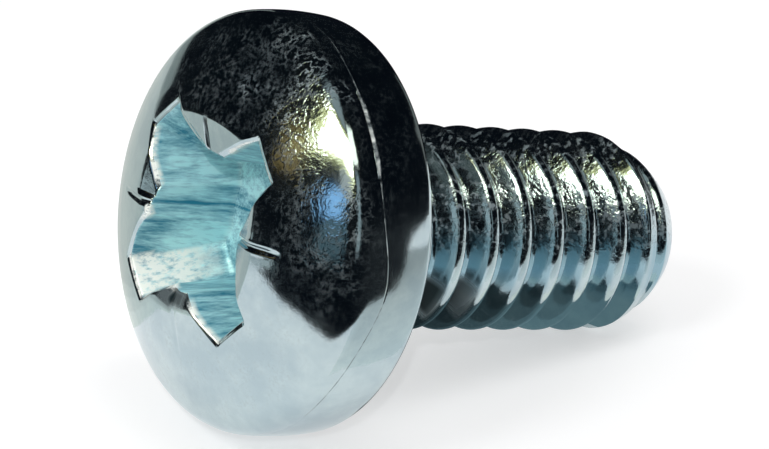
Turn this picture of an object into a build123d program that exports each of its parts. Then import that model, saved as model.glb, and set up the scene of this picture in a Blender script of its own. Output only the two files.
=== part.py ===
from build123d import *
import math
import os

# Pan head machine screw, 1/4-20 UNC x 1/2 in, type Z cross recess No. 3, lying on a table.
# Units are millimetres, +Z is up.
# The screw is built upright, head up, with the bearing face of the head at z = 0.
# It is then laid down on the bottom edge of its head and the last crests of its thread.

# thread
thread_d = 6.2            # over the crests; the thread class allows 6.12 to 6.32
pitch = 1.27              # 20 threads to the inch
length = 12.7             # under the head
crest_flat = 0.24         # width left on each crest
thread_depth = 0.70       # crest to root
flank_angle = 30.0        # degrees, each flank from the plane across the axis
point_len = 1.7           # rounded point at the end of the thread, along the axis
point_bulge = 0.12        # how far its curve stands out from a straight cone
end_r = 2.2               # radius of the flat end face
neck_len = 0.7            # plain shank left under the head, less than two pitches
runout_turn = 0.4         # part of a turn over which the groove climbs out of the shank
crest_first = 0.92        # distance of the first crest from the head, on the +X side
cutter_over = 0.12        # how far the groove's cutter reaches past the crests

# head
head_d = 12.4
head_h = 4.55             # to the top of the dome; the recess leaves 4.1
crown_r = 10.25           # radius of the dome
corner_r = 1.0            # top corner, dome to side
rim_r = 0.3               # bottom edge of the side
side_draft = 2.0          # degrees, the side widens towards the top corner
fillet_r = 0.3            # under the head, into the shank

# recess
wing_span = 7.1           # across opposite wings, where they meet the dome
wing_w = 1.36             # width of a wing there
wing_splay = 14.0         # degrees, the wings widen towards the middle
wing_taper = 26.0         # degrees, end of a wing from the axis
wing_draft = 2.0          # degrees, side of a wing
recess_depth = 3.3        # bottom of the wings, from the top of the dome
core_d = 4.1              # round middle of the recess
core_draft = 3.0          # degrees
point_h = 0.5             # cone in the middle of the bottom
lead_w = 6.0              # four flat lead-in faces between the wings, across two of them
lead_angle = 18.0         # degrees, slope of the lead-in faces
edge_bevel = 0.2          # bevel along the sides of the wings
mark_in = 1.7             # radii where the four marks between the wings start and end
mark_out = 4.0
mark_w = 0.22
mark_depth = 0.12
wing_turn = 28.5          # degrees, turn of the wings from +X
above = 0.6               # how far the recess cutters rise over the dome

# rest pose
spin = -75.1              # degrees, turn about the axis before the screw is laid down

major_r = thread_d / 2
root_r = major_r - thread_depth
head_r = head_d / 2
dome_z = head_h - crown_r
thread_end = length - point_len


def dome_at(r):
    """Height of the dome at a radius."""
    return dome_z + math.sqrt(crown_r**2 - r**2)


def on_circle(centre, radius, angle):
    """Point on a circle in the half section, angle in radians from the outward direction."""
    return (centre[0] + radius * math.cos(angle), centre[1] + radius * math.sin(angle))


def turned(points):
    """Solid turned about the axis from a closed half section with straight sides."""
    with BuildPart() as p:
        with BuildSketch(Plane.XZ):
            with BuildLine():
                Polyline(*points, close=True)
            make_face()
        revolve(axis=Axis.Z)
    return p.part


def tapered_bar(half_l, half_w, waist, taper_l, taper_w, z_ref, z_low, z_high):
    """Loft between two six-cornered outlines, wider by the waist in the middle.

    The half length and half width hold at z_ref and shrink downwards by the two angles.
    """
    outlines = []
    for z in (z_low, z_high):
        hl = half_l + (z - z_ref) * math.tan(math.radians(taper_l))
        hw = half_w + (z - z_ref) * math.tan(math.radians(taper_w))
        hm = hw + waist
        outlines.append(Plane.XY.offset(z) * Polygon(
            (-hl, -hw), (0, -hm), (hl, -hw), (hl, hw), (0, hm), (-hl, hw), align=None
        ))
    return loft(outlines)


# head: dome, top corner, drafted side, bottom edge, flat bearing face, fillet into the shank
draft = math.radians(side_draft)
corner = (head_r - corner_r, dome_z + math.sqrt((crown_r - corner_r) ** 2 - (head_r - corner_r) ** 2))
dome_a = math.atan2(corner[1] - dome_z, corner[0])
dome_end = on_circle(corner, corner_r, dome_a)
side_top = on_circle(corner, corner_r, -draft)
rim_c = (side_top[0] - (side_top[1] - rim_r) * math.tan(draft) - rim_r / math.cos(draft), rim_r)
side_low = on_circle(rim_c, rim_r, -draft)
fillet_c = (major_r + fillet_r, -fillet_r)

with BuildPart() as blank:
    with BuildSketch(Plane.XZ):
        with BuildLine():
            dome_mid = on_circle((0, dome_z), crown_r, (math.pi / 2 + dome_a) / 2)
            ThreePointArc((0, head_h), dome_mid, dome_end)
            ThreePointArc(dome_end, on_circle(corner, corner_r, (dome_a - draft) / 2), side_top)
            Line(side_top, side_low)
            rim_mid = on_circle(rim_c, rim_r, (-draft - math.pi / 2) / 2)
            ThreePointArc(side_low, rim_mid, (rim_c[0], 0))
            Line((rim_c[0], 0), (fillet_c[0], 0))
            fillet_mid = on_circle(fillet_c, fillet_r, 0.75 * math.pi)
            ThreePointArc((fillet_c[0], 0), fillet_mid, (major_r, -fillet_r))
            Line((major_r, -fillet_r), (0, -fillet_r))
            Line((0, -fillet_r), (0, head_h))
        make_face()
    revolve(axis=Axis.Z)
head = blank.part

# recess: round core with a pointed bottom, and four wings with sloping ends
mouth_z = dome_at(wing_span / 2)
floor_z = head_h - recess_depth
top_z = head_h + above


def core_at(z):
    """Radius of the core at a height."""
    return core_d / 2 + (z - mouth_z) * math.tan(math.radians(core_draft))


recess = turned([
    (0, floor_z - point_h), (core_at(floor_z), floor_z), (core_at(top_z), top_z), (0, top_z),
])
waist = wing_span / 2 * math.tan(math.radians(wing_splay))
for i in range(2):
    wing = tapered_bar(
        wing_span / 2, wing_w / 2, waist, wing_taper, wing_draft, mouth_z, floor_z, top_z,
    )
    recess = recess + wing.rotate(Axis.Z, wing_turn + 90 * i)
head = head - recess

# flat lead-in faces between the wings, sloping down to the core, and bevels along the wings
lead_r = lead_w / 2
lead_low = dome_at(lead_r) - lead_r * math.tan(math.radians(lead_angle)) / 2
pyramid = tapered_bar(
    lead_r, lead_r, 0, 90 - lead_angle, 90 - lead_angle, dome_at(lead_r), lead_low, top_z,
)
head = head - pyramid.rotate(Axis.Z, wing_turn + 45)
for i in range(2):
    bevel = tapered_bar(
        wing_span / 2, wing_w / 2 + edge_bevel, waist, 0, 45, mouth_z, mouth_z - edge_bevel, top_z,
    )
    head = head - bevel.rotate(Axis.Z, wing_turn + 90 * i)

# the four marks that tell this recess from the plain cross: narrow grooves between the wings,
# along the lead-in face and then the dome, running out at the outer end
mark_bend = lead_r - 0.05
lead_at_mark = dome_at(lead_r) - (lead_r - mark_in) * math.tan(math.radians(lead_angle))
mark_side = Plane.XZ * Polygon(
    (mark_in, lead_at_mark - mark_depth), (mark_bend, dome_at(mark_bend) - mark_depth),
    (mark_out - mark_depth, dome_at(mark_out - mark_depth) - mark_depth),
    (mark_out + mark_depth, dome_at(mark_out)), (mark_out + mark_depth, top_z), (mark_in, top_z),
    align=None,
)
for i in range(4):
    mark = extrude(mark_side, mark_w / 2, both=True)
    head = head - mark.rotate(Axis.Z, wing_turn + 45 + 90 * i)

# shank: the groove of the thread is a 60 degree section swept along a right-hand helix
tan_flank = math.tan(math.radians(flank_angle))
half_open = (pitch - crest_flat) / 2
half_root = half_open - thread_depth * tan_flank
half_over = half_open + cutter_over * tan_flank
section = Plane.XZ * Polygon(
    (root_r, -half_root), (major_r + cutter_over, -half_over),
    (major_r + cutter_over, half_over), (root_r, half_root),
    align=None,
)
groove_top = -neck_len - half_open
turns = math.ceil((length + half_open + groove_top) / pitch)
# on the +X side the groove's middle lies half a pitch below the first crest
groove_a = 360 * (-crest_first - pitch / 2 - groove_top) / pitch
turn_helix = Helix(pitch=pitch, height=pitch, radius=major_r)
one_turn = sweep(section, path=turn_helix, is_frenet=True).rotate(Axis.Z, -groove_a)
shank = Pos(0, 0, -length / 2) * Cylinder(major_r, length)
for i in range(turns):
    shank = shank - Pos(0, 0, groove_top - (i + 1) * pitch) * one_turn

# over the last part of a turn, near the head, the groove climbs out of the shank
climb = runout_turn * pitch
climb_a = math.degrees(math.atan2(thread_depth + cutter_over, climb))
out_helix = Helix(pitch=pitch, height=climb, radius=major_r, cone_angle=climb_a)
runout = sweep(section, path=out_helix, is_frenet=True).rotate(Axis.Z, -groove_a)
shank = shank - Pos(0, 0, groove_top) * runout

# rounded point
with BuildPart() as outside:
    with BuildSketch(Plane.XZ):
        with BuildLine():
            chord = (major_r - end_r, point_len)
            reach_out = point_bulge / math.hypot(*chord)
            point_mid = (
                (major_r + end_r) / 2 + chord[1] * reach_out,
                -(thread_end + length) / 2 - chord[0] * reach_out,
            )
            Polyline((major_r, -thread_end), (major_r + 1, -thread_end), (major_r + 1, 0), (0, 0),
                     (0, -length), (end_r, -length))
            ThreePointArc((end_r, -length), point_mid, (major_r, -thread_end))
        make_face()
    revolve(axis=Axis.Z)
shank = shank & outside.part
screw = head + shank

# rest: the bottom edge of the head and the end of the full thread touch the table together
reach = math.hypot(thread_end + rim_r, rim_c[0] - major_r)
tilt = math.atan2(rim_c[0] - major_r, thread_end + rim_r) + math.asin(rim_r / reach)
screw = screw.rotate(Axis.Z, spin).rotate(Axis.Y, math.degrees(tilt) - 90)
box = screw.bounding_box()
screw = Pos(-(box.min.X + box.max.X) / 2, -(box.min.Y + box.max.Y) / 2, -box.min.Z) * screw

os.makedirs("parts", exist_ok=True)
screw.label = "screw"
export_step(screw, "parts/screw.step")
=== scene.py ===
import math

import bpy
import numpy as np
from mathutils import Matrix, Vector


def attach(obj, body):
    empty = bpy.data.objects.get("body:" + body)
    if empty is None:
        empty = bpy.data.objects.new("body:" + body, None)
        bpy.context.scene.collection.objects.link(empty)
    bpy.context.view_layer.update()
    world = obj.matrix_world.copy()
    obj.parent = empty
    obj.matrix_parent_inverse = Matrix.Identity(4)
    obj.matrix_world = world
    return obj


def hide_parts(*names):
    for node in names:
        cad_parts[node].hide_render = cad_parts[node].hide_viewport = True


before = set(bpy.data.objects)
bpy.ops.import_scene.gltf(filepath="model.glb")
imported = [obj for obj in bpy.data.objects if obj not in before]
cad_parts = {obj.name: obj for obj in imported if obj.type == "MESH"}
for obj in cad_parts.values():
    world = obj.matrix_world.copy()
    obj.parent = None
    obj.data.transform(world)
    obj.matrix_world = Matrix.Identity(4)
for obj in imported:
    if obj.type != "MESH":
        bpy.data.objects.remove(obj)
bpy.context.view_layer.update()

# Camera: it looks down on the lying screw from the head's side, as the photograph looks at
# the head and along the thread. Place in millimetres, angles in degrees, picture 769 x 449.
MM = 0.001
CAMERA_AT = (-56.5737, -76.8958, 41.2889)
CAMERA_AZIMUTH, CAMERA_ELEVATION, CAMERA_ROLL = 54.2381, -20.8859, -1.6291
CAMERA_SENSOR, CAMERA_LENS = 36.0, 159.2841

camera = bpy.data.objects.new("camera", bpy.data.cameras.new("camera"))
bpy.context.scene.collection.objects.link(camera)
camera.matrix_world = (
    Matrix.Translation(Vector(CAMERA_AT) * MM)
    @ Matrix.Rotation(math.radians(CAMERA_AZIMUTH - 90), 4, "Z")
    @ Matrix.Rotation(math.radians(CAMERA_ELEVATION + 90), 4, "X")
    @ Matrix.Rotation(math.radians(CAMERA_ROLL), 4, "Z")
)
camera.data.sensor_width = CAMERA_SENSOR
camera.data.lens = CAMERA_LENS
camera.data.clip_start = 0.001
camera.data.clip_end = 10.0
bpy.context.scene.camera = camera
bpy.context.scene.view_settings.view_transform = "Standard"


# The screw: cold-headed low-carbon steel with a rolled thread and bright zinc plating. One
# closed skin in millimetres, worked out upright with the bearing face of the head at height
# 0: the recess from its bottom up, the head, the shank down to its point. Then it lies down.
THREAD_R, PITCH, LENGTH, FIRST_CREST = 3.1, 1.27, 12.7, 0.92
RUNOUT_FROM, RUNOUT_LEN = 0.707, 0.508
POINT_FROM, POINT_BULGE, POINT_SHIFT, POINT_TURN = 11.0, 0.12, 0.07, math.radians(-105.0)
END_R, END_ROUND, END_DISH = 2.2, 0.13, 0.02

HEAD_R, HEAD_H, CROWN_R, CORNER_R, RIM_R, FILLET_R = 6.2, 4.55, 10.25, 1.0, 0.3, 0.3
SIDE_R, SIDE_TILT = 8.0, math.radians(6.0)
OVAL, OVAL_TURN, OVAL_FROM, OVAL_FULL = 0.04, math.radians(80.0), 4.3, 5.8
SEAM_Z, SEAM_DIPS = 1.97, ((0.42, -18, 18), (0.2, 60, 12))
SEAM_RIPPLE = 0.01

WING_SPAN, WING_W, WING_SPLAY, WING_TAPER, WING_DRAFT = 7.1, 1.36, 14.0, 26.0, 2.0
RECESS_DEPTH, CORE_D, CORE_DRAFT, POINT_H = 3.3, 4.1, 3.0, 0.5
WING_TURN = math.radians(28.5)
FLANK_BOW = 0.13
EDGE_ROUND, EDGE_ROWS = 0.07, 6
# half distances across the lead-in faces, two for each gap between wings
LEAD_HALVES = np.array([(3.0, 3.0), (2.7, 2.4), (2.65, 2.5), (2.9, 2.9)])
LEAD_ANGLE, LEAD_SOFT = 18.0, 0.12
EDGE_BEVEL, BEVEL_SLOPE = 0.12, 0.8
# the marks in the four gaps: turn from the middle of the gap, depth, lip, outer end
MARKS = ((6.0, 0.13, 0, 3.0), (3.0, 0.07, 0.03, 3.9), (3.0, 0.02, 0.02, 4.1), (3.0, 0.09, 0.04, 3.95))
MARK_W, MARK_LIP_W = 0.2, 0.05

# lie of the screw, as in the solids: tilt of the axis, turn about it, place
TILT, SPIN = math.radians(15.1217), math.radians(-75.1)
REST_AT = (-4.0462, 0.0, 5.8622)

# columns along a wing's end, each flank and the core between two wings
TIP_COLS, FLANK_COLS, CORE_COLS = 12, 11, 42
QUARTER_COLS = TIP_COLS + 2 * FLANK_COLS + CORE_COLS
COLS = 4 * QUARTER_COLS
# radius outside which the columns no longer follow the recess
FREE_R = 4.3


def tan_deg(angle):
    """Tangent of an angle in degrees."""
    return math.tan(math.radians(angle))


def patch(value, mid, half, soft):
    """One inside a span about a middle value, falling evenly to nothing over a soft edge."""
    return np.clip((half + soft - np.abs(value - mid)) / soft, 0, 1)


dome_z = HEAD_H - CROWN_R
floor_z = HEAD_H - RECESS_DEPTH
waist = WING_SPAN / 2 * tan_deg(WING_SPLAY)


def dome_at(r):
    """Height of the dome: a sphere of the crown radius about a point on the axis."""
    return dome_z + np.sqrt(CROWN_R**2 - r**2)


mouth_z = float(dome_at(WING_SPAN / 2))


def wing_size(z):
    """Half length and half width of a wing's end at a height: both shrink evenly downwards."""
    half_l = WING_SPAN / 2 + (z - mouth_z) * tan_deg(WING_TAPER)
    half_w = WING_W / 2 + (z - mouth_z) * tan_deg(WING_DRAFT)
    return half_l, half_w


def core_at(z):
    """Radius of the round core at a height: it shrinks evenly downwards."""
    return CORE_D / 2 + (z - mouth_z) * tan_deg(CORE_DRAFT)


def recess_point(column, z):
    """Point of the recess wall for a column and a height, as an angle and a radius.

    A quarter has the flat end of a wing, its two flanks and the core between two wings.
    The column runs evenly along each of them, so that the corners stay on columns at
    every height: end x = L, flank from (L, w) to the core circle, core along the circle,
    closer together at the middle of it. One flank is bowed in by a parabola.
    """
    turn = np.floor((column + TIP_COLS / 2) / QUARTER_COLS)
    k = column - turn * QUARTER_COLS
    half_l, half_w = wing_size(z)
    core = core_at(z)
    # where the flank line y = w + waist (1 - x / L) meets the circle of the core
    slope = waist / half_l
    top = half_w + waist
    a, b, c = 1 + slope**2, -2 * slope * top, top**2 - core**2
    x_in = (-b + np.sqrt(np.maximum(b * b - 4 * a * c, 0))) / (2 * a)
    side = np.where(k > QUARTER_COLS / 2, -1.0, 1.0)
    k = np.where(side < 0, QUARTER_COLS - k, k)
    on_tip = k <= TIP_COLS / 2
    on_flank = (k > TIP_COLS / 2) & (k <= TIP_COLS / 2 + FLANK_COLS)
    on_core = ~(on_tip | on_flank)
    f = np.clip((k - TIP_COLS / 2) / FLANK_COLS, 0, 1)
    bow = 4 * FLANK_BOW * f * (1 - f) * ((turn % 4 == 0) & (side < 0))
    x = np.where(on_tip, half_l, half_l + (x_in - half_l) * f)
    y = np.where(on_tip, half_w * k / (TIP_COLS / 2), top - slope * x - bow)
    corner = np.arctan2(top - slope * x_in, x_in)
    g = np.clip((k - TIP_COLS / 2 - FLANK_COLS) / (CORE_COLS / 2), 0, 1)
    g = 1.5 * g - 0.5 * g * g
    ang = np.where(on_core, corner + (math.pi / 4 - corner) * g, np.arctan2(y, x))
    rad = np.where(on_core, core, np.hypot(x, y))
    ang = np.where(side > 0, ang, math.pi / 2 - ang)
    return ang + turn * math.pi / 2 + WING_TURN, rad


def soft_min(a, b, width):
    """The lower of two heights, with the corner between them rounded over a width."""
    h = np.clip(0.5 + 0.5 * (b - a) / width, 0, 1)
    return b + (a - b) * h - width * h * (1 - h)


def top_height(ang, r):
    """Height of the top of the head: the lowest of the dome, the flat lead-in faces and the
    bevels along the wings, less a narrow groove with raised lips along each of four marks.
    A gap's lead-in face changes its distance from one half to the other past its middle.
    """
    z = dome_at(r)
    from_gap = ang - WING_TURN - math.pi / 4
    gap = np.floor((from_gap + math.pi / 4) / (math.pi / 2)).astype(int)
    in_gap = from_gap - gap * math.pi / 2
    before, after = LEAD_HALVES[gap % 4, 0], LEAD_HALVES[gap % 4, 1]
    half = before + (after - before) * np.clip(0.5 + in_gap / 0.1, 0, 1)
    z = soft_min(z, dome_at(half) + (r * np.cos(in_gap) - half) * tan_deg(LEAD_ANGLE), LEAD_SOFT)
    for i in range(2):
        b = ang - WING_TURN - i * math.pi / 2
        x, y = np.abs(r * np.cos(b)), np.abs(r * np.sin(b))
        beside = y - WING_W / 2 - waist * (1 - x / (WING_SPAN / 2))
        beyond = x - WING_SPAN / 2
        z = z - BEVEL_SLOPE * np.clip(EDGE_BEVEL - np.maximum(beside, beyond), 0, EDGE_BEVEL)
    for i, (turn, depth, lip, end) in enumerate(MARKS):
        b = from_gap - math.radians(turn) - i * math.pi / 2
        x, y = r * np.cos(b), np.abs(r * np.sin(b))
        within = np.clip((end - x) / 0.5, 0, 1) * (x > 0)
        groove = np.clip(1.25 - y / (MARK_W / 2), 0, 1)
        ridge = np.exp(-((y - MARK_W * 0.72) / MARK_LIP_W) ** 2)
        z = z - within * depth * (groove * groove * (3 - 2 * groove) - lip * ridge)
    return z


u = np.arange(COLS, dtype=float)
rows = []


def add_row(ang, r, z):
    """One more row of the skin: angle, radius and height, one value a column or one for all."""
    rows.append((ang, r + 0 * u, z + 0 * u))


# height at which each column of the wall meets the top of the head, by halving
low, high = np.full(COLS, floor_z), np.full(COLS, HEAD_H)
for _ in range(40):
    mid = (low + high) / 2
    inside = top_height(*recess_point(u, mid)) > mid
    low, high = np.where(inside, mid, low), np.where(inside, high, mid)
mouth = (low + high) / 2
ang_mouth, rad_mouth = recess_point(u, mouth)

# the bottom of the recess, a shallow cone, and its walls
ang_floor, rad_floor = recess_point(u, np.full(COLS, floor_z))
for t in (0.12, 0.3, 0.5, 0.7, 0.85, 0.97):
    r = rad_floor * t
    add_row(ang_floor, r, floor_z - POINT_H * np.clip(1 - r / core_at(floor_z), 0, 1))
wall_end = mouth - EDGE_ROUND
for t in np.linspace(0, 1, 20) ** 0.9:
    z = floor_z + (wall_end - floor_z) * t
    add_row(*recess_point(u, z), z)
# the mouth edge: a quadratic curve from the wall to the top, drawn to the sharp corner
a_low, r_low = recess_point(u, wall_end)
r_out = rad_mouth + EDGE_ROUND
z_out = top_height(ang_mouth, r_out)
mouth_row = len(rows)
for t in np.linspace(0, 1, EDGE_ROWS + 1)[1:]:
    wall, corner, top = (1 - t)**2, 2 * t * (1 - t), t * t
    add_row(
        wall * a_low + (1 - wall) * ang_mouth,
        wall * r_low + corner * rad_mouth + top * r_out,
        wall * wall_end + corner * mouth + top * z_out,
    )
for t in np.linspace(0, 1, 39)[1:]:
    r = r_out + (FREE_R - r_out) * t
    add_row(ang_mouth, r, top_height(ang_mouth, r))

# the dome's outer part, where the columns spread out evenly round the head, and its corner
ang_even = WING_TURN + 2 * math.pi * u / COLS
corner_r = HEAD_R - CORNER_R * math.cos(SIDE_TILT) - SIDE_R * (1 - math.cos(SIDE_TILT))
corner_z = dome_z + math.sqrt((CROWN_R - CORNER_R)**2 - corner_r**2)
dome_a = math.atan2(corner_z - dome_z, corner_r)
dome_end = corner_r + CORNER_R * math.cos(dome_a)
for t in np.linspace(0, 1, 9)[1:]:
    r = FREE_R + (dome_end - FREE_R) * t
    add_row(ang_mouth + (ang_even - ang_mouth) * t * t * (3 - 2 * t), r, dome_at(r))
for t in np.linspace(dome_a, SIDE_TILT, 12)[1:]:
    add_row(ang_even, corner_r + CORNER_R * math.cos(t), corner_z + CORNER_R * math.sin(t))

# the side: a barrel's arc, with the wavy line left where the heading dies met
barrel_r = corner_r + (CORNER_R - SIDE_R) * math.cos(SIDE_TILT)
barrel_z = corner_z + (CORNER_R - SIDE_R) * math.sin(SIDE_TILT)
low_tilt = math.asin((RIM_R - barrel_z) / (SIDE_R - RIM_R))
side_top, side_low = barrel_z + SIDE_R * math.sin(SIDE_TILT), RIM_R * (1 + math.sin(low_tilt))
even_az = np.degrees((ang_even + math.pi) % (2 * math.pi) - math.pi)
seam_z = SEAM_Z + SEAM_RIPPLE * np.sin(ang_even * 13 + 2.0)
for dip, dip_az, dip_w in SEAM_DIPS:
    seam_z = seam_z - dip * np.exp(-((even_az - dip_az) / dip_w) ** 2)


def side_row(z, proud=0.0):
    """One row of the side: on the arc about its centre, moved out by a small height."""
    add_row(ang_even, barrel_r + np.sqrt(SIDE_R**2 - (z - barrel_z)**2) + proud, z)


for t in np.linspace(0, 1, 5)[1:-1]:
    side_row(side_top + (seam_z + 0.035 - side_top) * t)
seam_row = len(rows)
seam_wide = 1 + 0.9 * patch(even_az, 24, 10, 10)
seam_depth = 0.2 + 0.8 * np.clip((35 - even_az) / 25, 0, 1) * np.clip((even_az + 165) / 20, 0, 1)
seam_depth = seam_depth * (0.55 + 0.45 * np.sin(ang_even * 97) * np.sin(ang_even * 41 + 1))
for over, proud in (
    (0.035, 0.0), (0.022, 0.0), (0.011, -0.003), (0.0, -0.009), (-0.011, -0.006),
    (-0.022, -0.003), (-0.05, -0.002), (-0.09, -0.002),
):
    side_row(seam_z + over * seam_wide, proud * seam_depth)
for t in np.linspace(0, 1, 9):
    side_row(seam_z - 0.18 + (side_low - seam_z + 0.18) * t, -0.002 * (1 - t))

# the rim, the bearing face and the fillet into the shank
rim_c = barrel_r + (SIDE_R - RIM_R) * math.cos(low_tilt)
for t in np.linspace(low_tilt, -math.pi / 2, 7)[1:]:
    add_row(ang_even, rim_c + RIM_R * math.cos(t), RIM_R * (1 + math.sin(t)))
fillet_c = THREAD_R + FILLET_R
for t in np.linspace(0, 1, 8)[1:]:
    add_row(ang_even, rim_c + (fillet_c - rim_c) * t, 0)
for t in np.linspace(math.pi / 2, math.pi, 6)[1:]:
    add_row(ang_even, fillet_c + FILLET_R * math.cos(t), FILLET_R * (math.sin(t) - 1))


def ring_points(ang, r, z):
    """Points of a row from its angles, radii and heights."""
    return np.stack([r * np.cos(ang), r * np.sin(ang), z + 0 * r], axis=1)


def out_of_round(ang, r, z):
    """The row with the head a little oval: full size across one direction, less across it."""
    share = np.clip((r - OVAL_FROM) / (OVAL_FULL - OVAL_FROM), 0, 1)
    return ang, r - OVAL * (1 - np.cos(2 * (ang - OVAL_TURN))) * share, z


def band(here, there):
    """Triangles between two rings of vertices, closed all the way round."""
    return [
        np.stack([here, there, np.roll(there, -1)], axis=1),
        np.stack([here, np.roll(there, -1), np.roll(here, -1)], axis=1),
    ]


bottom = np.array([[0.0, 0.0, floor_z - POINT_H]])
points = [bottom] + [ring_points(*out_of_round(*row)) for row in rows]
ring = 1 + np.arange(COLS)
faces = [np.stack([np.zeros(COLS, int), ring, np.roll(ring, -1)], axis=1)]
for k in range(len(rows) - 1):
    faces += band(ring + k * COLS, ring + (k + 1) * COLS)
head_count = 1 + len(rows) * COLS

# The thread: its rows follow the helix, so crest and root stay clean lines all the way round.
# Half a pitch of the rolled profile: distance along the axis from a crest, depth under it.
half_profile = np.array([
    (0.0, 0.0), (0.06, 0.008), (0.11, 0.030), (0.155, 0.066), (0.20, 0.130), (0.29, 0.290),
    (0.385, 0.450), (0.47, 0.580), (0.545, 0.655), (PITCH / 2, 0.685),
])
along = np.concatenate([half_profile[:, 0], PITCH - half_profile[-2:0:-1, 0]])
depth = np.concatenate([half_profile[:, 1], half_profile[-2:0:-1, 1]])
PER_TURN = len(along)
turn_of, step_of = np.divmod(np.arange((math.ceil(LENGTH / PITCH) + 3) * PER_TURN), PER_TURN)
helix_ang = WING_TURN + 2 * math.pi * np.arange(COLS + 1) / COLS
crest_at = FIRST_CREST + (turn_of[:, None] - 1) * PITCH - PITCH * helix_ang / (2 * math.pi)
from_head = crest_at + along[step_of][:, None]
# the groove fades in over the last part of a turn near the head
fade = np.clip((crest_at + PITCH / 2 - RUNOUT_FROM) / RUNOUT_LEN, 0, 1)
r = THREAD_R - depth[step_of][:, None] * fade


def end_radius(at, ang):
    """Radius of the rounded point: a cone from the crests down to the end face, with a
    parabola's bulge over it, and a little to one side of the axis.
    """
    t = (at - POINT_FROM) / (LENGTH - POINT_FROM)
    cone = THREAD_R + (END_R - THREAD_R) * t + 4 * POINT_BULGE * t * (1 - t) * (t > 0)
    aside = POINT_SHIFT * np.clip((at - POINT_FROM + 2.5) / 2.5, 0, 1)
    return cone + aside * (np.cos(ang - POINT_TURN) - 0.9)


r = np.minimum(r, end_radius(from_head, helix_ang))

# each place of the helix grid is a vertex: the last ring of the head, the first of the end,
# or its own between them, where the last column is the first one, a pitch further on
START, END = FILLET_R, LENGTH - END_ROUND
last_ring = ring + (len(rows) - 1) * COLS
end_ring = head_count + np.arange(COLS)
vertex = np.where(from_head <= START + 0.02, np.append(last_ring, last_ring[0]), -1)
vertex = np.where(from_head >= END - 0.02, np.append(end_ring, end_ring[0]), vertex)
free = vertex[:, :-1] < 0
count = head_count + COLS
vertex[:, :-1][free] = count + np.arange(free.sum())
vertex[:, -1] = np.where(vertex[:, -1] < 0, np.roll(vertex[:, 0], PER_TURN), vertex[:, -1])
count += int(free.sum())
points.append(ring_points(ang_even, end_radius(END, ang_even), np.full(COLS, -END)))
free_ang = np.broadcast_to(helix_ang[:-1], free.shape)[free]
points.append(ring_points(free_ang, r[:, :-1][free], -from_head[:, :-1][free]))
p00, p01 = vertex[:-1, :-1].ravel(), vertex[:-1, 1:].ravel()
p10, p11 = vertex[1:, :-1].ravel(), vertex[1:, 1:].ravel()
for tri in ((p00, p10, p11), (p00, p11, p01)):
    t = np.stack(tri, axis=1)
    keep = (t[:, 0] != t[:, 1]) & (t[:, 1] != t[:, 2]) & (t[:, 2] != t[:, 0])
    faces.append(t[keep])

# the end of the shank: a rounded edge, then a slightly dished face
ring = end_ring
for share, short in ((0.985, 0.06), (0.955, 0.015), (0.90, 0), (0.6, 0.01), (0.3, END_DISH)):
    aside = share * (end_radius(END, ang_even) - end_radius(END, 0.0))
    points.append(ring_points(ang_even, END_R * share + aside, np.full(COLS, short - LENGTH)))
    faces += band(ring, count + np.arange(COLS))
    ring = count + np.arange(COLS)
    count += COLS
points.append(np.array([[0.0, 0.0, END_DISH - LENGTH]]))
faces.append(np.stack([ring, np.full(COLS, count), np.roll(ring, -1)], axis=1))

local = np.concatenate(points)
tris = np.concatenate(faces)

# laid down as in the solids: turned about the axis, tipped over, moved to its place
turned = np.array([
    [math.cos(SPIN), -math.sin(SPIN), 0], [math.sin(SPIN), math.cos(SPIN), 0], [0, 0, 1],
])
tip = TILT - math.pi / 2
tipped = np.array([
    [math.cos(tip), 0, math.sin(tip)], [0, 1, 0], [-math.sin(tip), 0, math.cos(tip)],
])
lay = tipped @ turned
world = (local @ lay.T + np.array(REST_AT)) * MM

mesh = bpy.data.meshes.new("machine_screw")
mesh.vertices.add(len(world))
mesh.vertices.foreach_set("co", world.ravel())
mesh.loops.add(3 * len(tris))
mesh.loops.foreach_set("vertex_index", tris.ravel().astype(np.int32))
mesh.polygons.add(len(tris))
mesh.polygons.foreach_set("loop_start", np.arange(0, 3 * len(tris), 3, dtype=np.int32))
mesh.update(calc_edges=True)
mesh.validate()
mesh.polygons.foreach_set("use_smooth", np.ones(len(mesh.polygons), bool))

# Where the finish changes, and where light, shade and highlights are painted on, as values stored at
# each vertex: none of it at 0, all at 1. Places are given by the azimuth about the axis in degrees,
# the radius or height, and by the row.
azimuth = np.degrees(np.arctan2(local[:, 1], local[:, 0]))
radius = np.hypot(local[:, 0], local[:, 1])
head_az, head_r, head_z = azimuth[:head_count], radius[:head_count], local[:head_count, 2]
thread_az, thread_r, thread_z = azimuth[head_count:], radius[head_count:], local[head_count:, 2]
row_of, col_of = np.divmod(np.arange(head_count) - 1, COLS)


def store_value(name, head=0.0, thread=0.0):
    """Store a value on the mesh, given apart for the head and for the thread."""
    values = np.zeros(len(local), dtype=np.float32)
    values[:head_count] = head
    values[head_count:] = thread
    mesh.attributes.new(name, "FLOAT", "POINT").data.foreach_set("value", values)


store_value("in_recess", head=row_of < mouth_row + EDGE_ROWS / 2)
store_value("on_thread", thread=1.0)
sunk = dome_at(np.minimum(head_r, FREE_R)) - head_z
store_value("on_lead", head=np.clip(sunk / 0.08, 0, 1) * (head_r < 4.0))
store_value("on_side", head=np.clip((head_r - 5.4) / 0.3, 0, 1))

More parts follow.
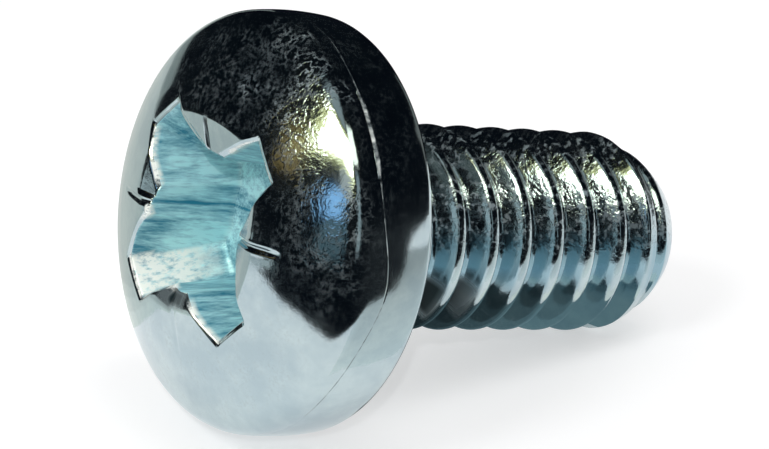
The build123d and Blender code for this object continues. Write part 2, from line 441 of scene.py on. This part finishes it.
# where the plating is scuffed: the upper part of the thread, and the dome above and below
# the recess's right, less in the middle of the highlight
on_thread = 0.1 + 1.2 * patch(thread_az, 6, 16, 8) + 0.5 * patch(thread_az, 36, 12, 8)
on_thread += 0.9 * patch(thread_az, 60, 8, 8)
on_dome = 1.1 * patch(head_az, 46, 14, 18) * patch(head_r, 5.1, 0.9, 0.5)
on_dome += 0.8 * patch(head_az, 0, 12, 12) * patch(head_r, 5.1, 0.6, 0.5)
on_dome *= (head_z > 2.2) * (1 - 0.75 * patch(head_az, 22, 9, 6) * patch(head_r, 5.75, 0.4, 0.2))
store_value("scuffed", head=on_dome, thread=on_thread)

# painted highlights, white and dull: on the mouth edge in places, over one wing's end, and along the
# dies' line where it catches the light, broken up
painted_highlight = np.zeros(head_count)
on_edge = patch(row_of, mouth_row + (EDGE_ROWS - 1) / 2, 3.5, 1.0)
for mid, half, much in (
    (140, 9, 1.0), (173, 4, 1.0), (-152, 10, 1.0), (-116, 6, 1.0), (-80, 8, 1.0),
    (48, 6, 0.75), (20, 12, 0.4), (-9, 2.5, 0.7), (-3, 6, 0.35),
):
    painted_highlight += much * patch(head_az, mid, half, 2.0) * on_edge
wing_end = (row_of > 7) & (row_of < mouth_row) & (np.abs(head_az + 152) < 11)
wing_end &= np.abs(col_of - COLS // 2) <= TIP_COLS // 2
painted_highlight = np.maximum(painted_highlight, wing_end * np.clip((head_z - 1.2) / 1.2, 0.35, 1))
broken = 0.5 + 0.5 * np.sin(np.radians(head_az) * 83) * np.sin(np.radians(head_az) * 37)
seam_lit = patch(row_of, seam_row + 2.7, 0.9 + 1.4 * patch(head_az, 24, 8, 6), 0.6) * broken
painted_highlight += seam_lit * patch(head_az, 18, 36, 14) * (0.4 + 0.6 * patch(head_az, 24, 9, 8))
store_value("painted_highlight", head=np.clip(painted_highlight, 0, 1))

# painted shade, dark: down the low part of the dies' line, in the slit of the top mark and in the
# roots between the crests near the head; and dark patches at a few edges of the mouth
shade_head = patch(row_of, seam_row + 2.0, 0.8, 1.0) * patch(head_az, -42, 14, 8) * broken
mark_az = math.degrees(WING_TURN) + 45 + MARKS[0][0]
across = head_r * np.sin(np.radians(head_az - mark_az))
in_mark = patch(across, 0, 0.03 + 0.06 * np.clip(head_r - 2.2, 0, 1), 0.05)
in_mark *= np.clip((3.05 - head_r) / 0.1, 0, 1) * (np.abs(head_az - mark_az) < 20)
shade_head += in_mark * (row_of >= mouth_row)
for (az, az_half, az_soft), (r_mid, r_half, r_soft), much in (
    ((-104, 6, 6), (2.3, 0.12, 0.2), 0.8), ((-116, 7, 5), (2.45, 0.1, 0.25), 0.45),
):
    place = patch(head_az, az, az_half, az_soft) * patch(head_r, r_mid, r_half, r_soft)
    shade_head += much * place * (row_of >= mouth_row + EDGE_ROWS / 2)
under_crest = np.clip((3.07 - thread_r) / 0.12, 0, 1)
shade_thread = patch(thread_az, -50, 10, 8) * patch(thread_z, -3.2, 1.0, 1.2) * under_crest
store_value("painted_shade", head=np.clip(shade_head, 0, 1), thread=shade_thread)

# a painted blue-grey reflection between the crests, low on the camera's side
store_value("painted_blue_sheen", thread=under_crest * patch(thread_az, -22, 12, 14))

# how light the recess walls are painted, patch by patch: painted reflection, light and shade over the
# blue of the passivation
recess_light = np.full(head_count, 0.52)
for (az, az_half, az_soft), (z_mid, z_half, z_soft), much in (
    ((-172, 8, 8), (2.1, 0.5, 0.7), 0.45), ((-170, 8, 6), (3.7, 0.2, 0.4), -0.30),
    ((165, 0.8, 1.2), (2.6, 1.4, 0.4), -0.45), ((146, 9, 7), (2.9, 0.4, 0.5), 0.34),
    ((128, 6, 6), (3.2, 0.6, 0.5), -0.20), ((155, 3, 3), (2.3, 0.6, 0.4), -0.12),
    ((-90, 14, 8), (3.5, 0.3, 0.4), -0.10), ((132, 9, 8), (1.2, 0.8, 0.6), 0.30),
):
    recess_light += much * patch(head_az, az, az_half, az_soft) * patch(head_z, z_mid, z_half, z_soft)
store_value("recess_light", head=recess_light, thread=0.52)

# the place on the upright screw, in millimetres, which the punch's draw marks follow
upright = mesh.attributes.new("upright", "FLOAT_VECTOR", "POINT")
upright.data.foreach_set("vector", local.astype(np.float32).ravel())
screw = bpy.data.objects.new("machine_screw", mesh)
bpy.context.scene.collection.objects.link(screw)

# Zinc plating: bright and a little blue, with fine grain. In the recess the blue of the passivation
# is made strong and patchy by painted reflection, light and shade, streaked along the draw marks the
# punch left down the walls; the rolled flanks are rougher.
ZINC_DARK, ZINC_PALE = (0.42, 0.52, 0.56), (0.52, 0.62, 0.64)
RECESS_SHADE_COLOR, RECESS_LIGHT_COLOR = (0.03, 0.23, 0.34), (0.62, 0.98, 1.0)
SHEEN_BLUE, HIGHLIGHT_WHITE, SHADE_DARK = (0.28, 0.43, 0.50), (0.97, 1.0, 0.94), (0.008, 0.022, 0.026)

zinc = bpy.data.materials.new("bright_zinc")
zinc.use_nodes = True
nodes, links = zinc.node_tree.nodes, zinc.node_tree.links
bsdf = nodes["Principled BSDF"]
coords = nodes.new("ShaderNodeTexCoord")


def noise(scale, detail, rough, vector=None):
    """Noise over the metal: scale in features a metre, on the object's own coordinates."""
    n = nodes.new("ShaderNodeTexNoise")
    n.inputs["Scale"].default_value = scale
    n.inputs["Detail"].default_value = detail
    n.inputs["Roughness"].default_value = rough
    links.new(vector or coords.outputs["Object"], n.inputs["Vector"])
    return n.outputs["Fac"]


def ramp(value, low, high, to_low, to_high):
    """Map a value from one range to another, held at the ends."""
    n = nodes.new("ShaderNodeMapRange")
    for socket, v in (("From Min", low), ("From Max", high), ("To Min", to_low), ("To Max", to_high)):
        n.inputs[socket].default_value = v
    links.new(value, n.inputs["Value"])
    return n.outputs["Result"]


def blend(factor, a, b):
    """Mix two colours, each given as numbers or taken from a socket."""
    n = nodes.new("ShaderNodeMix")
    n.data_type = "RGBA"
    for socket, v in ((6, a), (7, b)):
        if isinstance(v, tuple):
            n.inputs[socket].default_value = (*v, 1)
        else:
            links.new(v, n.inputs[socket])
    links.new(factor, n.inputs[0])
    return n.outputs[2]


def maths(kind, a, b):
    """One operation on two sockets or numbers."""
    n = nodes.new("ShaderNodeMath")
    n.operation = kind
    for i, v in enumerate((a, b)):
        if isinstance(v, (int, float)):
            n.inputs[i].default_value = v
        else:
            links.new(v, n.inputs[i])
    return n.outputs[0]


def plus(a, b):
    """Sum of two sockets or numbers."""
    return maths("ADD", a, b)


def times(a, b):
    """Product of two sockets or numbers."""
    return maths("MULTIPLY", a, b)


def greater(a, b):
    """The greater of two sockets or numbers."""
    return maths("MAXIMUM", a, b)


def outside(a):
    """One less a value: where it does not hold."""
    return maths("SUBTRACT", 1.0, a)


def attribute(name, output="Fac"):
    """A value stored on the mesh."""
    n = nodes.new("ShaderNodeAttribute")
    n.attribute_name = name
    return n.outputs[output]


def stretched(scale):
    """The upright place scaled by a different number along each axis."""
    n = nodes.new("ShaderNodeMapping")
    n.inputs["Scale"].default_value = scale
    links.new(attribute("upright", "Vector"), n.inputs["Vector"])
    return n.outputs["Vector"]


recess, thread, lead_in, side = map(attribute, ("in_recess", "on_thread", "on_lead", "on_side"))
scuff, painted_shade_mask = attribute("scuffed"), attribute("painted_shade")
draw_broad = noise(1.0, 3.0, 0.6, stretched((4.2, 4.2, 0.45)))
draw_fine = noise(1.0, 5.0, 0.7, stretched((16.0, 16.0, 1.5)))
draw_marks = plus(times(draw_broad, 0.6), times(draw_fine, 0.4))
cloud = noise(450.0, 3.0, 0.55)
mottle = noise(1600.0, 4.0, 0.6)
speckle = noise(7000.0, 4.0, 0.75)
crackle = noise(3300.0, 3.0, 0.6)
lumps = noise(5200.0, 3.0, 0.6)
patches = noise(900.0, 4.0, 0.65)
fleck_noise = noise(1.0, 4.0, 0.7, stretched((6.0, 6.0, 2.2)))
curl = maths("ABSOLUTE", maths("SUBTRACT", crackle, 0.5), 0.0)

# colours: plain zinc, painted reflection, light and shade in the recess, painted highlights in white
# flecks, painted shade over all
shade = plus(times(cloud, 0.6), times(mottle, 0.4))
plain = blend(ramp(shade, 0.4, 0.6, 0.0, 1.0), ZINC_DARK, ZINC_PALE)
# painted blue-grey reflection low on the thread
plain = blend(attribute("painted_blue_sheen"), plain, SHEEN_BLUE)
# painted reflection, light and shade down the recess walls
paleness = plus(attribute("recess_light"), ramp(draw_marks, 0.32, 0.68, -0.6, 0.6))
recess_painted = blend(ramp(paleness, 0.0, 1.0, 0.0, 1.0), RECESS_SHADE_COLOR, RECESS_LIGHT_COLOR)
# painted highlights, broken into white flecks
highlight_flecks = times(attribute("painted_highlight"), ramp(fleck_noise, 0.33, 0.52, 0.15, 1.0))
skin = blend(highlight_flecks, blend(recess, plain, recess_painted), HIGHLIGHT_WHITE)
links.new(blend(painted_shade_mask, skin, SHADE_DARK), bsdf.inputs["Base Color"])

# dull parts: a thin haze of specks, curled lines and dots where scuffed, the recess with its painted
# light, the painted highlights and the painted shade; the rest is bright metal
haze = times(ramp(mottle, 0.42, 0.62, 0.01, 0.13), ramp(speckle, 0.48, 0.64, 0.0, 1.0))
haze = times(haze, outside(greater(times(side, 0.75), times(thread, 0.8))))
lines = times(ramp(curl, 0.0, 0.05, 1.0, 0.0), ramp(patches, 0.44, 0.62, 0.03, 0.40))
lines = times(lines, outside(thread))
dots = times(ramp(lumps, 0.52, 0.64, 0.0, 0.32), thread)
haze = greater(haze, times(plus(lines, dots), scuff))
dull = greater(greater(times(recess, 0.72), times(highlight_flecks, 0.9)), times(painted_shade_mask, 0.8))
links.new(outside(greater(dull, haze)), bsdf.inputs["Metallic"])
gloss = plus(ramp(cloud, 0.3, 0.7, 0.08, 0.13), times(recess, 0.2))
links.new(plus(gloss, times(painted_shade_mask, 0.3)), bsdf.inputs["Roughness"])

# relief in micrometres: fine grain all over, curled ridges and beads where scuffed, and the
# draw marks in the recess
worn = times(scuff, ramp(patches, 0.40, 0.52, 0.35, 1.0))
worn = greater(worn, times(lead_in, 0.1))
ridges = times(ramp(curl, 0.0, 0.1, 3.2, 0.0), outside(thread))
beads = times(ramp(lumps, 0.42, 0.62, 0.0, 4.5), thread)
grain = times(speckle, plus(times(worn, 1.3), 0.9))
relief = plus(grain, plus(times(plus(ridges, beads), worn), times(mottle, 4.0)))
relief = plus(times(relief, outside(recess)), times(times(draw_marks, recess), 30.0))
bump = nodes.new("ShaderNodeBump")
bump.inputs["Strength"].default_value = 1.0
bump.inputs["Distance"].default_value = 0.000001
links.new(relief, bump.inputs["Height"])
links.new(bump.outputs["Normal"], bsdf.inputs["Normal"])
mesh.materials.append(zinc)

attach(screw, "root")
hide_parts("screw")


# The floor and the room: a white table under a white sky. Both are plain white to the camera
# and in the metal's shine, and give less light than they show.
FLOOR_HALF, FLOOR_COLOR, FLOOR_SHOWN = 2.0, (0.60, 0.60, 0.605, 1), 0.51
SKY_LIGHT, SKY_SHOWN = 0.5, 1.0


def shown_more(tree, low, high):
    """Strength low for the light it gives, high to the camera and in the metal's shine."""
    path = tree.nodes.new("ShaderNodeLightPath")
    seen = path.outputs["Is Camera Ray"]
    for ray in ("Is Glossy Ray", "Is Transmission Ray"):
        either = tree.nodes.new("ShaderNodeMath")
        either.operation = "MAXIMUM"
        tree.links.new(seen, either.inputs[0])
        tree.links.new(path.outputs[ray], either.inputs[1])
        seen = either.outputs[0]
    level = tree.nodes.new("ShaderNodeMapRange")
    level.inputs["To Min"].default_value = low
    level.inputs["To Max"].default_value = high
    tree.links.new(seen, level.inputs["Value"])
    return level.outputs["Result"]


def stage_mesh(name, pts, wide, material):
    """A sheet from a grid of points, wide points in each row."""
    i, j = np.meshgrid(np.arange(len(pts) // wide - 1), np.arange(wide - 1), indexing="ij")
    q = (i * wide + j).ravel()
    quads = np.stack([q, q + wide, q + wide + 1, q + 1], axis=1)
    m = bpy.data.meshes.new(name)
    m.from_pydata(pts.tolist(), [], quads.tolist())
    m.materials.append(material)
    o = bpy.data.objects.new(name, m)
    bpy.context.scene.collection.objects.link(o)
    return o


floor_mat = bpy.data.materials.new("white_floor")
floor_mat.use_nodes = True
floor_shader = floor_mat.node_tree.nodes["Principled BSDF"]
floor_shader.inputs["Base Color"].default_value = FLOOR_COLOR
floor_shader.inputs["Roughness"].default_value = 0.9
floor_shader.inputs["Specular IOR Level"].default_value = 0.0
floor_shader.inputs["Emission Color"].default_value = (1, 1, 1, 1)
floor_mat.node_tree.links.new(
    shown_more(floor_mat.node_tree, 0.0, FLOOR_SHOWN), floor_shader.inputs["Emission Strength"]
)
floor_corners = np.array([(-1, -1, 0), (-1, 1, 0), (1, -1, 0), (1, 1, 0)]) * FLOOR_HALF
stage_mesh("floor", floor_corners, 2, floor_mat)

room = bpy.data.worlds.new("room")
room.use_nodes = True
bpy.context.scene.world = room
sky = room.node_tree.nodes["Background"]
sky.inputs["Color"].default_value = (1, 1, 1, 1)
room.node_tree.links.new(shown_more(room.node_tree, SKY_LIGHT, SKY_SHOWN), sky.inputs["Strength"])


# The flags and cards round the screw, which only its shine shows: a black flag over it and
# on the camera's side of the table, pale steps of the table beside it, windows and cards.
SCREW_Z = 6.0
BLACK, BLACK_LEVEL = (0.45, 0.65, 1.0), 0.008
WARM, TABLE_FAR, TABLE_NEAR = (1.0, 0.98, 0.82), (0.95, 1.0, 0.95), (0.96, 1.0, 0.99)
SHADOW_BLUE, GLOW_WHITE = (0.5, 0.8, 0.9), (1.0, 1.0, 0.93)


def card(name, pts, wide, color, strength):
    """A sheet that shines evenly in one colour, and that only the shine shows."""
    m = bpy.data.materials.new(name)
    m.use_nodes = True
    t = m.node_tree
    t.nodes.clear()
    e = t.nodes.new("ShaderNodeEmission")
    e.inputs["Color"].default_value = (*color, 1)
    e.inputs["Strength"].default_value = strength
    t.links.new(e.outputs[0], t.nodes.new("ShaderNodeOutputMaterial").inputs["Surface"])
    o = stage_mesh(name, pts, wide, m)
    o.visible_camera = False
    o.visible_diffuse = False
    o.visible_shadow = False
    o.visible_transmission = False
    o.visible_volume_scatter = False


def sky_card(name, radius, az, el, color, strength):
    """A patch of a sphere about the screw, between two azimuths and two elevations: each
    point is the radius times (cos e cos a, cos e sin a, sin e).
    """
    aa, ee = np.meshgrid(np.linspace(*np.radians(az), 25), np.linspace(*np.radians(el), 12))
    pts = radius * np.stack([np.cos(ee) * np.cos(aa), np.cos(ee) * np.sin(aa), np.sin(ee)], -1)
    card(name, pts.reshape(-1, 3) + np.array([0, 0, SCREW_Z * MM]), 25, color, strength)


def table_card(name, corners, height, color, strength):
    """A card just over the table, from pairs of corners in millimetres."""
    card(name, np.array([(x * MM, y * MM, height * MM) for x, y in corners]), 2, color, strength)


sky_card("flag_dome", 0.30, (93, 416), (-1.2, 90), BLACK, BLACK_LEVEL)
sky_card("flag_dome_top", 0.30, (56, 93), (4.5, 90), BLACK, BLACK_LEVEL)
sky_card("pale_wall", 0.31, (54, 94), (-1.2, 5), (0.9, 1.0, 0.95), 0.33)

# the black flag on the camera's side of the table, from its edge near the screw outwards
flag_edge = [
    (-300, 75), (-107, 18), (-44, 0), (-31, -6), (-22, -8), (-13.4, -10.6), (-10, -12.2),
    (-5, -14.2), (2, -16.2), (6, -20), (12.4, -26.6), (27, -42), (66, -78), (230, -200),
]
flag_corners = [place for x, y in flag_edge for place in ((x, y), (x, min(y, 0) - 300))]
table_card("table_flag", flag_corners, 0.3, BLACK, BLACK_LEVEL)
for step in range(4):
    near = 8.0 + 1.3 * step
    strip = [(-300, 100 + near), (-300, 400), (-60, 14 + near), (-60, 400)]
    strip += [(-8, near), (-8, 400), (8, near), (180, 400)]
    table_card(f"table_far_{step}", strip, 0.3 + 0.02 * step, TABLE_FAR, 0.92 - 0.08 * step)
table_card("table_back", [(8, 11), (180, 400), (400, 11), (400, 400)], 0.4, BLACK, BLACK_LEVEL)
for step in range(12):
    near, west = -7.0 - 0.85 * step - 0.03 * step * step, -7.5 + 0.7 * step
    strip = [(west, near), (west, -40), (24, near), (24, -60)]
    table_card(f"table_near_{step}", strip, 0.2 + 0.006 * step, TABLE_NEAR, 0.94 - 0.042 * step)
# painted shadow under the screw: dark bluish cards on the table beneath it, darkest under the head,
# which only the shine shows
under_x, shadow_levels = (-4.3, -1.6, -0.2, 1.2, 2.6, 6.5), (0.04, 0.07, 0.14, 0.22, 0.3)
for step, level in enumerate(shadow_levels):
    west, east = under_x[step:step + 2]
    strip = [(west, -3.6), (west, 4), (east, -3.5), (east, 4)]
    table_card(f"painted_shadow_{step}", strip, 0.25, SHADOW_BLUE, level)
table_card("under_glow", [(0.2, -3.9), (0.2, -4.7), (7, -3.3), (7, -4.5)], 0.25, GLOW_WHITE, 1.0)

sky_card("window", 0.20, (176, 221), (39.5, 53.5), WARM, 9.0)
sky_card("window_rim", 0.203, (169, 223), (36.5, 56.5), (0.95, 0.88, 0.38), 1.4)
sky_card("window_right", 0.20, (221, 246), (46, 63), WARM, 2.2)
sky_card("window_top", 0.205, (165, 216), (59, 77), (0.9, 1.0, 1.0), 0.4)
sky_card("window_low", 0.205, (193, 213), (28, 37), (1.0, 1.0, 0.95), 0.6)
sky_card("gold_card", 0.21, (161, 172), (27, 40), (0.9, 0.6, 0.2), 0.33)
sky_card("blue_card", 0.205, (189, 197), (20, 29), (0.33, 0.62, 1.0), 1.3)
sky_card("grey_card", 0.22, (190, 200), (8, 20), (0.5, 0.8, 0.95), 0.2)
sky_card("low_wall", 0.22, (140, 172), (-1.2, 2.7), (0.9, 1.0, 1.0), 0.6)
sky_card("corner_card", 0.21, (231, 241), (8, 42), (0.8, 0.95, 1.0), 0.4)
sky_card("far_window", 0.22, (-12, 20), (3, 22), (1.0, 1.0, 0.95), 0.2)


# The lamps: two soft ones, from the camera's side and from above, and a snooted spot into
# the recess, which lies in the shade of its own walls. The metal's shine doesn't show them.
RECESS_MIDDLE = (0.0, 0.0, 3.4)
SPOT_TOWARD, SPOT_AWAY = (-0.497, -0.709, 0.5), 0.2


def hang(name, data, target, toward, distance):
    """Hang a lamp at a distance from its target, turned to look at it."""
    o = bpy.data.objects.new(name, data)
    toward = Vector(toward).normalized()
    o.location = target + toward * distance
    o.rotation_euler = toward.to_track_quat("Z", "Y").to_euler()
    o.visible_glossy = False
    bpy.context.scene.collection.objects.link(o)


def soft_lamp(name, az, el, distance, size, power):
    """A square soft lamp that looks at the screw, angles in degrees, sizes in metres."""
    data = bpy.data.lights.new(name, "AREA")
    data.shape = "SQUARE"
    data.size = size
    data.energy = power
    a, e = math.radians(az), math.radians(el)
    toward = (math.cos(e) * math.cos(a), math.cos(e) * math.sin(a), math.sin(e))
    hang(name, data, Vector((0, 0, SCREW_Z * MM)), toward, distance)


soft_lamp("key_lamp", -170, 48, 0.25, 0.07, 0.14)
soft_lamp("top_lamp", -60, 72, 0.28, 0.14, 0.22)

spot = bpy.data.lights.new("recess_spot", "SPOT")
spot.energy = 2.25
spot.spot_size = math.radians(2.3)
spot.spot_blend = 0.4
spot.shadow_soft_size = 0.008
spot_target = Vector((lay @ np.array(RECESS_MIDDLE) + np.array(REST_AT)) * MM)
hang("recess_spot", spot, spot_target, SPOT_TOWARD, SPOT_AWAY)
